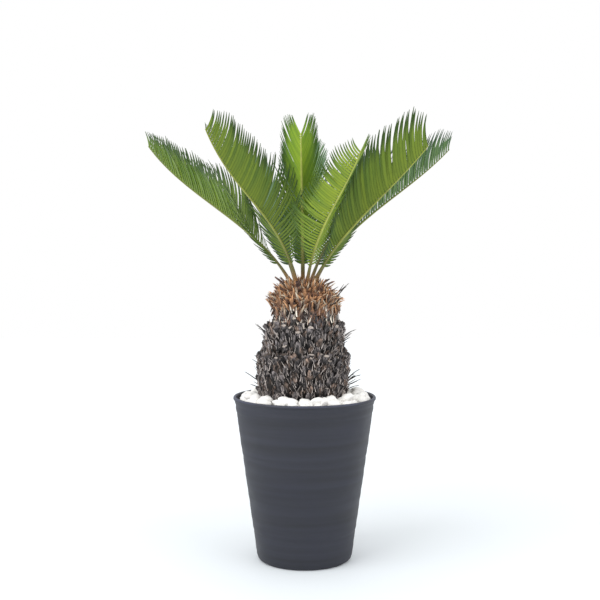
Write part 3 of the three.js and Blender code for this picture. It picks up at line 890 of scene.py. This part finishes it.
def trunk_middle(height):
    return Vector((TRUNK_X + line(TRUNK_SWAY, height), 0, height))


def axes_along(along, out):
    """Axes (across, over, along) of a blade whose upper side faces away from the trunk."""
    across = out.cross(along).normalized()
    return across, along.cross(across).normalized(), along


def swayed(out, lean, chance, spread):
    """A direction that leans outwards from upright, with a chance turn to either side."""
    along = leaning(out, math.radians(lean + chance.uniform(-spread, spread)))
    return (along + UP.cross(out) * chance.uniform(-0.35, 0.35) * spread / 15).normalized()


def hung(out, height, along, size, inset=0.0, bend=(0, 0, 0)):
    """A spot for a blade whose tip ends at the trunk's outside, or short of it by the inset."""
    tip = out * (line(TIP_OUTLINE, height) - inset) + trunk_middle(height)
    return Spot(tip - along * size[2], axes_along(along, out), size, bend)


def dealt(spots, kinds, seed):
    """The spots dealt out by chance over kinds (share, ...): the rest of each kind, and its spots."""
    chance = random.Random(seed)
    lists = [[] for kind in kinds]
    shares = [kind[0] for kind in kinds]
    for spot in spots:
        chance.choices(lists, shares)[0].append(spot)
    return [(*kind[1:], own) for kind, own in zip(kinds, lists)]


def clad(name, spots, shapes, *finishes, **chances):
    """Scatters the shapes over the spots as a piece of the trunk's bark."""
    seat(scatter(name, spots, shapes, *finishes, **chances), "bark", "trunk")


def trunk_core(settings):
    """The solid stem with the relief of its bark."""
    low, high = SOIL_TOP + 0.0003, TRUNK_TIP
    heights = [low + (high - low) * step / CORE_RINGS for step in range(CORE_RINGS + 1)]
    profile = [(0.002, low)] + [(line(TRUNK_OUTLINE, h) - 0.001, h) for h in heights] + [(0.002, high)]

    def relief(angle, height):
        if not low < height < high:
            return 0
        spot = Vector((math.cos(angle) * 0.07, math.sin(angle) * 0.07, height))
        return 0.004 * noise.noise(spot * 90) + 0.002 * noise.noise(spot * 240)

    old = settings.old_colour
    # The first colour is the painted shade in the core's hollows.
    finish = core_finish(shade(old, 0.3), old, shade(settings.rust_colour, 0.45))
    core = turned("trunk_core", profile, 112, finish, middle=trunk_middle, wobble=relief)
    seat(smooth(core), "bark", "trunk")


def old_leaf_bases(settings):
    """Stubs of old leaves, pressed up against both lower tiers like shingles."""
    chance = random.Random(settings.seed)
    spots = []
    for out, height in trunk_spots(*BASE_BAND, settings.base_area, settings.seed):
        along = swayed(out, line(BASE_LEANS, height), chance, 9)
        size = (settings.base_width, BASE_THICKNESS, settings.base_length * chance.uniform(0.8, 1.15))
        spots.append(hung(out, height, along, size, chance.uniform(0, 0.005)))
    grey = settings.old_colour
    kinds = ((6, "grey_leaf_bases", grey), (4, "brown_leaf_bases", shade(grey, 1.24, 1.0, 0.8)))
    for name, colour, own in dealt(spots, kinds, 4):
        finish = bark_finish(name, colour, 0.08, 6.6)
        clad(name, own, whole_bases(settings.seed), finish, spread=0.18, sway=0.12, seed=settings.seed)


def tier_rings(settings):
    """Thick cut leaf bases along the top of each tier, and a few below, with torn ends."""
    chance = random.Random(settings.seed + 1)
    width, thickness, length = RING_SIZE
    spots = []
    for height, radius, count, lean in TIER_RINGS:
        for i in range(count):
            out = outwards(2 * math.pi * (i + chance.uniform(-0.3, 0.3)) / count)
            along = swayed(out, lean, chance, 10)
            size = (width * chance.uniform(0.7, 1.15), thickness, length)
            tip = out * (radius - chance.uniform(0, 0.004))
            tip += trunk_middle(height + chance.uniform(-0.003, 0.002))
            spots.append(Spot(tip - along * length, axes_along(along, out), size))
    for out, height in trunk_spots(*CUT_BAND, seed=6):
        along = swayed(out, 38, chance, 12)
        spots.append(hung(out, height, along, CUT_SIZE, 0.001))
    finish = bark_finish("cut_leaf_base", settings.old_colour, 0.1, 6.2)
    for name, end, own in dealt(spots, CUT_KINDS, 8):
        ends = end_finish(name + "_end", end)
        shapes = cut_bases(settings.seed + 5)
        clad(name, own, shapes, finish, ends, spread=0.2, sway=0.12, seed=settings.seed + 2)


def neck_strands(settings):
    """Upright torn strands round the narrow neck, from near black to cream."""
    chance = random.Random(settings.seed + 2)
    spots = []
    for out, height in trunk_spots(*NECK_BAND, seed=9):
        along = swayed(out, 5, chance, 20)
        length = chance.uniform(0.009, 0.018)
        bend = out * length * chance.uniform(-0.25, 0.1)
        inset = chance.uniform(-0.0015, 0.0035)
        spots.append(hung(out, height, along, (*STRAND_SECTION, length), inset, bend))
    for name, colour, own in dealt(spots, STRAND_KINDS, 10):
        clad(name, own, scale_shapes(50), fibre_finish(name, colour), spread=0.25, sway=0.15, seed=31)


def young_scales(settings, title, spots, shape_seed, **chances):
    """The scales at the spots, as one mesh each for rust, slim cream and umber."""
    for kind, slim, factors, own in dealt(spots, SCALE_KINDS, 12):
        name = f"{kind}_{title}_scales"
        own = [spot._replace(size=(spot.size[0] * slim, *spot.size[1:])) for spot in own]
        finish = scale_finish(name, shade(settings.rust_colour, *factors))
        yield scatter(name, own, scale_shapes(shape_seed), finish, **chances)


def rust_tier(settings):
    """The bulging upper tier of young scales, curled and rusty, some of them cream or umber."""
    chance = random.Random(settings.seed + 4)
    spots = []
    for out, height in trunk_spots(*RUST_BAND, seed=3):
        along = swayed(out, line(SCALE_LEANS, height), chance, 26)
        length = chance.uniform(0.012, 0.023)
        bend = (out * 0.6 - UP) * length * chance.uniform(-0.45, 0.6)
        inset = chance.uniform(-0.002, 0.006)
        spots.append(hung(out, height, along, (*RUST_SECTION, length), inset, bend))
    for scales in young_scales(settings, "tier", spots, 40, spread=0.25, sway=0.3, seed=9):
        seat(scales, "bark", "trunk")


def bark_fibres(settings):
    """Short torn fibres that lie on the bark."""
    chance = random.Random(settings.seed + 6)
    spots = []
    for out, height in trunk_spots(*FIBRE_BAND, seed=5):
        along = swayed(out, 12, chance, 22)
        length = chance.uniform(0.006, 0.014)
        bend = (out * chance.uniform(-0.1, 0.3) + any_way(chance) * 0.3) * length
        inset = chance.uniform(-0.0005, 0.002)
        spots.append(hung(out, height, along, (*THREAD_SECTION, length), inset, bend))
    finish = fibre_finish("dry_fibre", settings.fibre_colour)
    clad("bark_fibres", spots, fibre_shapes(60), finish, spread=0.3, sway=0.3, seed=12)


def dry_spikes(settings):
    """Tufts of dry spikes that stick out of the bark."""
    chance = random.Random(settings.seed + 7)
    spots = []
    for azimuth, height in SPIKE_TUFTS:
        lean = chance.uniform(48, 66)
        for i in range(chance.randint(3, 5)):
            out = outwards(math.radians(azimuth + chance.uniform(-9, 9)))
            place = height + chance.uniform(-0.007, 0.007)
            along = swayed(out, lean, chance, 12)
            length = chance.uniform(0.015, 0.031)
            root = out * (line(TIP_OUTLINE, place) - 0.008) + trunk_middle(place)
            bend = UP * chance.uniform(-0.3, 0.5) * length
            spots.append(Spot(root, axes_along(along, out), (*SPIKE_SECTION, length), bend))
    finish = fibre_finish("dry_spike", SPIKE_COLOUR)
    clad("dry_spikes", spots, scale_shapes(80), finish, spread=0.2, sway=0.1, seed=14)


def old_stalks(settings):
    """Flat grey stumps of old stalks that stand out between the bud's scales."""
    chance = random.Random(settings.seed + 8)
    spots = []
    for azimuth, lean in STALKS:
        out = outwards(math.radians(azimuth))
        along = swayed(out, lean, chance, 5)
        root = out * STALK_RADIUS + Vector((TRUNK_X, 0, STALK_HEIGHT))
        size = (*STALK_SECTION, chance.uniform(0.029, 0.034))
        spots.append(Spot(root, axes_along(along, out), size, share=1))
    finish = bark_finish("old_stalk", STALK_COLOUR, 0.5, 3.5)
    ends = end_finish("old_stalk_end", STALK_END_COLOUR)
    seat(scatter("old_stalks", spots, cut_bases(settings.seed + 9), finish, ends, seed=4), "bud", "bud")


# ---- Fronds

def spine_of(row):
    """The rib's points with their directions, left sides and upper sides, worked out from its lean."""
    out = outwards(math.radians(row["azimuth"]))
    left = UP.cross(out)
    at_foot, at_middle, at_tip = row["lean"]
    point = out * row["foot"] + Vector((TRUNK_X, 0, FROND_BASE))
    spine, last = [], None
    for i in range(SPINE_STEPS + 1):
        s = i / SPINE_STEPS
        lean = at_foot * (1 - s) * (1 - 2 * s) + at_middle * 4 * s * (1 - s) + at_tip * s * (2 * s - 1)
        forward = leaning(out, math.radians(lean))
        if last:
            point = point + (forward + last) * (0.5 * row["length"] / SPINE_STEPS)
        roll = Matrix.Rotation(math.radians(row["roll"] + row["twist"] * s), 3, forward)
        spine.append((point, forward, roll @ left, roll @ forward.cross(left)))
        last = forward
    return spine


def frame_at(spine, s):
    """The point, direction, left side and upper side at this share of the way along the rib."""
    i = min(int(s * SPINE_STEPS), SPINE_STEPS - 1)
    share = s * SPINE_STEPS - i
    return [a.lerp(b, share) for a, b in zip(spine[i], spine[i + 1])]


def rib_radius(s, row, settings):
    widest = settings.rib_width / 2 * row["rib"]
    return line((*STEM_RADII, (STEM_PART, widest), (1, RIB_TIP_RADIUS)), s)


def leaflet_length(row, side, u):
    """The length of a leaflet by its place in its row; skirt changes it at the foot, a tip at the end."""
    tip = row["left_tip" if side > 0 else "right_tip"]
    skirt = row["skirt"]
    swell = line(((0, min(1, skirt)), (0.15, skirt), (0.5, 1), (0.7, 1), (1, tip)), u)
    return row["leaf"] * line(LEAFLET_LENGTHS, u) * swell


def leaflet_spot(row, spine, settings, chance, side, u):
    """Where a leaflet goes on this side of the rib, 1 or -1, at this place in its row, from 0 to 1."""
    s = STEM_PART + (1 - STEM_PART) * u
    point, forward, left, upper = frame_at(spine, s)
    stray = STRAY if chance.random() < STRAY_SHARE else 1
    rise = math.radians(line(ROW_ANGLES, u) * row["vee"] + stray * chance.uniform(-1.5, 1.5))
    turn = math.radians(line(LEAFLET_ANGLES, u) + stray * chance.uniform(-1, 1))
    out = left * side * math.cos(rise) + upper * math.sin(rise)
    along = forward * math.cos(turn) + out * math.sin(turn)
    across = forward * math.sin(turn) - out * math.cos(turn)
    length = leaflet_length(row, side, u) * chance.uniform(0.97, 1.03)
    bend = across * length * 2 * math.radians(LEAFLET_ARCH) * chance.uniform(0.9, 1.1)
    room = settings.spacing * math.sin(turn) * LEAFLET_OVERLAP
    width = min(settings.width, room) * line(LEAFLET_WIDTHS, u)
    width *= row["slim"] * line(((0.12, 1), (0.2, row["low"]), (0.5, 1)), u)
    facing = across * -side
    slat = -side * line(LEAFLET_TWISTS, u)
    twist = Matrix.Rotation(math.radians(slat + chance.uniform(-3, 3)), 3, along)
    axes = (twist @ facing, twist @ along.cross(facing), along)
    place = point + out * rib_radius(s, row, settings) * 0.5
    return Spot(place, axes, (width, settings.thickness, length), bend, u)


def leaflet_spots(row, spine, settings, seed):
    """Both rows of leaflets on a rib, from the bare stem to the tip."""
    chance = random.Random(seed)
    count = round(row["length"] * (1 - STEM_PART) / settings.spacing)
    places = [(side, (i + 0.5) / count) for side in (-1, 1) for i in range(count)]
    return [leaflet_spot(row, spine, settings, chance, *place) for place in places]


# ---- Operators

class SAGO_OT_pot(bpy.types.Operator):
    """Turn the tapered pot with its rounded foot, wall rings and thin lip"""
    bl_idname = "sago.pot"
    bl_label = "Pot"

    def execute(self, context):
        settings = context.scene.sago_pot
        foot, wall, rounding = settings.foot_radius, settings.wall, FOOT_ROUNDING
        under_lip = RIM_RADIUS - LIP_STEP
        slope = (under_lip - foot) / POT_HEIGHT
        profile = [(CENTRE, 0), (foot * 0.5, 0)]
        for step in range(7):
            angle = math.pi / 2 * step / 6
            profile.append((foot - rounding * (1 - math.sin(angle)), rounding * (1 - math.cos(angle))))
        for step in range(1, WALL_RINGS + 1):
            height = rounding + (WALL_TOP - rounding) * step / WALL_RINGS
            ripple = sum(math.sin(height * rate + rate) for rate in RING_RATES) / len(RING_RATES)
            ring = settings.ring_depth * (1 - ripple) * line(RING_STRENGTHS, height)
            groove = sum(
                depth * math.exp(-((height - place) / GROOVE_WIDTH) ** 2) for place, depth in GROOVES)
            profile.append((foot + slope * height - ring - groove, height))
        profile += [(RIM_RADIUS - inset, POT_HEIGHT - down) for inset, down in LIP_OUTSIDE]
        profile += [(under_lip - wall + outset, POT_HEIGHT - down) for outset, down in LIP_INSIDE]
        profile += [(foot + slope * height - wall, height) for height in INNER_HEIGHTS]
        profile += [(foot - wall - 0.002, POT_FLOOR), (CENTRE, POT_FLOOR)]
        pot = turned("pot_wall", profile, 160, pot_finish(settings.colour))
        seat(smooth(pot, 50), "pot", "pot")
        return {"FINISHED"}


class SAGO_OT_pebbles(bpy.types.Operator):
    """Fill the pot with soil and cover it with white pebbles"""
    bl_idname = "sago.pebbles"
    bl_label = "Soil and Pebbles"

    def execute(self, context):
        settings = context.scene.sago_pot
        room = line(POT_ROOM, SOIL_TOP)
        profile = [(CENTRE, SOIL_FOOT), (settings.foot_radius - SOIL_INSET, SOIL_FOOT)]
        profile += [(room - 0.0006, SOIL_TOP - 0.001)]
        profile += [(CENTRE + (room - CENTRE) * (1 - step / 8), SOIL_TOP) for step in range(9)]

        def crumble(angle, height):
            return 0.0003 * math.sin(angle * 17) if height > SOIL_TOP - 0.0001 else 0

        soil = turned("potting_soil", profile, 64, soil_finish(settings.soil_colour), wobble=crumble)
        seat(soil, "soil", "soil")
        chance = random.Random(11)
        places = [
            (2 * math.pi * (i + chance.uniform(-0.2, 0.2)) / count + height * 400, radius, height)
            for radius, height, count in PEBBLE_RINGS for i in range(count)
        ]
        places += [(math.radians(azimuth), radius, height) for azimuth, radius, height in TOP_PEBBLES]
        spots = []
        for angle, radius, height in places:
            tilt = Vector((chance.uniform(-0.4, 0.4), chance.uniform(-0.4, 0.4), 1)).normalized()
            across = any_way(chance).cross(tilt).normalized()
            length = settings.pebble_size * chance.uniform(*PEBBLE_LENGTHS)
            width = length * chance.uniform(*PEBBLE_WIDTHS)
            thickness = length * chance.uniform(*PEBBLE_THICKNESSES)
            place = outwards(angle) * (radius + chance.uniform(-0.003, 0))
            place += UP * (height + chance.uniform(-0.002, 0.0015))
            spots.append(Spot(place, (across, tilt.cross(across), tilt), (length, width, thickness)))
        stones = [stone_shape(f"stone_{i}", i) for i in range(6)]
        finish = pebble_finish(settings.pebble_colour)
        seat(scatter("white_pebbles", spots, stones, finish, spread=0.03, seed=5), "pebbles", "pebbles")
        return {"FINISHED"}


class SAGO_OT_trunk(bpy.types.Operator):
    """Raise the trunk in tiers of old leaf bases, torn fibres and dry spikes"""
    bl_idname = "sago.trunk"
    bl_label = "Trunk"

    def execute(self, context):
        layers = (trunk_core, old_leaf_bases, tier_rings, neck_strands, rust_tier, bark_fibres, dry_spikes)
        for layer in layers:
            layer(context.scene.sago_trunk)
        return {"FINISHED"}


class SAGO_OT_bud(bpy.types.Operator):
    """Close the trunk with a woolly bud and its rising scales"""
    bl_idname = "sago.bud"
    bl_label = "Bud"

    def execute(self, context):
        settings = context.scene.sago_trunk

        def wool(angle, height):
            return 0.002 * noise.noise(Vector((math.cos(angle) * 3, math.sin(angle) * 3, height * 150)))

        # The dome has no along attribute, so all of it takes the scale finish's painted root shade.
        finish = scale_finish("bud_wool", shade(settings.rust_colour, 0.7))
        dome = turned("bud_core", BUD_OUTLINE, 72, finish, middle=trunk_middle, wobble=wool)
        seat(smooth(dome), "bud", "bud")
        chance = random.Random(settings.seed + 3)
        spots = []
        for i in range(BUD_SCALES):
            share = (i + 0.5) / BUD_SCALES
            radius = BUD_RADIUS * math.sqrt(share)
            out = outwards(i * GOLDEN_ANGLE)
            along = swayed(out, line(BUD_LEANS, share), chance, 12)
            length = line(BUD_LENGTHS, share) * chance.uniform(0.7, 1.25)
            place = out * radius + Vector((TRUNK_X, 0, line(BUD_ROOTS, radius)))
            bend = out * length * chance.uniform(-0.3, 0.25)
            spots.append(Spot(place, axes_along(along, out), (*BUD_SECTION, length), bend))
        for scales in young_scales(settings, "bud", spots, 90, spread=0.2, sway=0.16, seed=21):
            seat(scales, "bud", "bud")
        old_stalks(settings)
        return {"FINISHED"}


class SAGO_OT_fronds(bpy.types.Operator):
    """Grow the nine fronds, each with a stem, a rib and two rows of leaflets"""
    bl_idname = "sago.fronds"
    bl_label = "Fronds"

    def execute(self, context):
        settings = context.scene.sago_frond
        # The ribs come in three painted copies, lit, half shaded and shaded, given to each frond by its tone.
        lit_rib = rib_finish("yellow_green_rib", settings.rib_colour, settings.stem_colour)
        olive_rib = rib_finish("olive_rib", shade(settings.rib_colour, 0.7), settings.stem_colour)
        shaded_rib = rib_finish("shaded_rib", settings.shaded_rib, settings.stem_colour)
        ribs = {"sunlit": lit_rib, "yellow": lit_rib, "olive": olive_rib}
        leaves = {
            tone: leaf_finish(tone + "_leaflet", getattr(settings, tone), *look)
            for tone, look in TONES.items()
        }
        for number, (name, own) in enumerate(FRONDS.items()):
            node = "frond_" + name
            row = {**USUAL_FROND, **own}
            spine = spine_of(row)
            radii = [rib_radius(i / SPINE_STEPS, row, settings) for i in range(SPINE_STEPS + 1)]
            rib = stem(node + "_rib", [step[0] for step in spine], radii, ribs.get(row["tone"], shaded_rib))
            seat(smooth(rib), "foliage", node)
            spots = leaflet_spots(row, spine, settings, settings.seed + number)
            shapes = blades("leaflet", LEAFLET_STATIONS, LEAFLET_OUTLINE, 0.04, 0, count=4)
            finish = leaves[row["tone"]]
            leaflets = scatter(
                node + "_leaflets", spots, shapes, finish, spread=0.02, sway=0.012, seed=number)
            seat(leaflets, "foliage", node)
        return {"FINISHED"}


class SAGO_OT_stage(bpy.types.Operator):
    """Set the floor, the lamps and the camera"""
    bl_idname = "sago.stage"
    bl_label = "Stage"

    def execute(self, context):
        settings = context.scene.sago_stage
        half = settings.floor_size / 2
        corners = [(-half, -half, 0), (half, -half, 0), (half, half, 0), (-half, half, 0)]
        floor = mesh_object("floor", corners, [(0, 1, 2, 3)], floor_finish(settings.floor_colour))
        world = bpy.data.worlds.new("studio")
        world.use_nodes = True
        background = world.node_tree.nodes["Background"]
        background.inputs["Color"].default_value = (1, 1, 1, 1)
        background.inputs["Strength"].default_value = settings.sky
        context.scene.world = world
        for name, place, share, size in LAMPS:
            lamp = bpy.data.lights.new(name, "AREA")
            lamp.energy = settings.key_power * share
            lamp.size = size
            made = added(name, lamp)
            made.location = place
            made.rotation_euler = (LIT_POINT - Vector(place)).to_track_quat("-Z", "Y").to_euler()
        camera = bpy.data.cameras.new("camera")
        camera.lens = settings.lens
        camera.sensor_width = SENSOR_WIDTH
        made = added("camera", camera)
        made.location = CAMERA_PLACE
        made.rotation_euler = (math.radians(90 - CAMERA_TILT), 0, 0)
        context.scene.camera = made
        context.scene.view_settings.view_transform = "Standard"
        return {"FINISHED"}


class SAGO_PT_panel(bpy.types.Panel):
    """Sizes, colours and buttons of the sago palm"""
    bl_idname = "SAGO_PT_panel"
    bl_label = "Sago Palm"
    bl_space_type = "VIEW_3D"
    bl_region_type = "UI"
    bl_category = "Sago Palm"

    def draw(self, context):
        layout = self.layout
        for step in STEPS:
            layout.operator(step.bl_idname)
        for title in SETTINGS:
            group = getattr(context.scene, title)
            box = layout.box()
            for key in group.bl_rna.properties.keys():
                if key not in ("rna_type", "name"):
                    box.prop(group, key)


STEPS = (SAGO_OT_pot, SAGO_OT_pebbles, SAGO_OT_trunk, SAGO_OT_bud, SAGO_OT_fronds, SAGO_OT_stage)
SETTINGS = {
    "sago_pot": PotSettings,
    "sago_trunk": TrunkSettings,
    "sago_frond": FrondSettings,
    "sago_stage": StageSettings,
}


def register():
    for kind in (*SETTINGS.values(), *STEPS, SAGO_PT_panel):
        bpy.utils.register_class(kind)
    for title, kind in SETTINGS.items():
        setattr(bpy.types.Scene, title, PointerProperty(type=kind))


def unregister():
    for title in SETTINGS:
        delattr(bpy.types.Scene, title)
    for kind in reversed((*SETTINGS.values(), *STEPS, SAGO_PT_panel)):
        bpy.utils.unregister_class(kind)


def main():
    register()
    bpy.ops.sago.pot()
    bpy.ops.sago.pebbles()
    bpy.ops.sago.trunk()
    bpy.ops.sago.bud()
    bpy.ops.sago.fronds()
    bpy.ops.sago.stage()


if __name__ == "__main__":
    main()
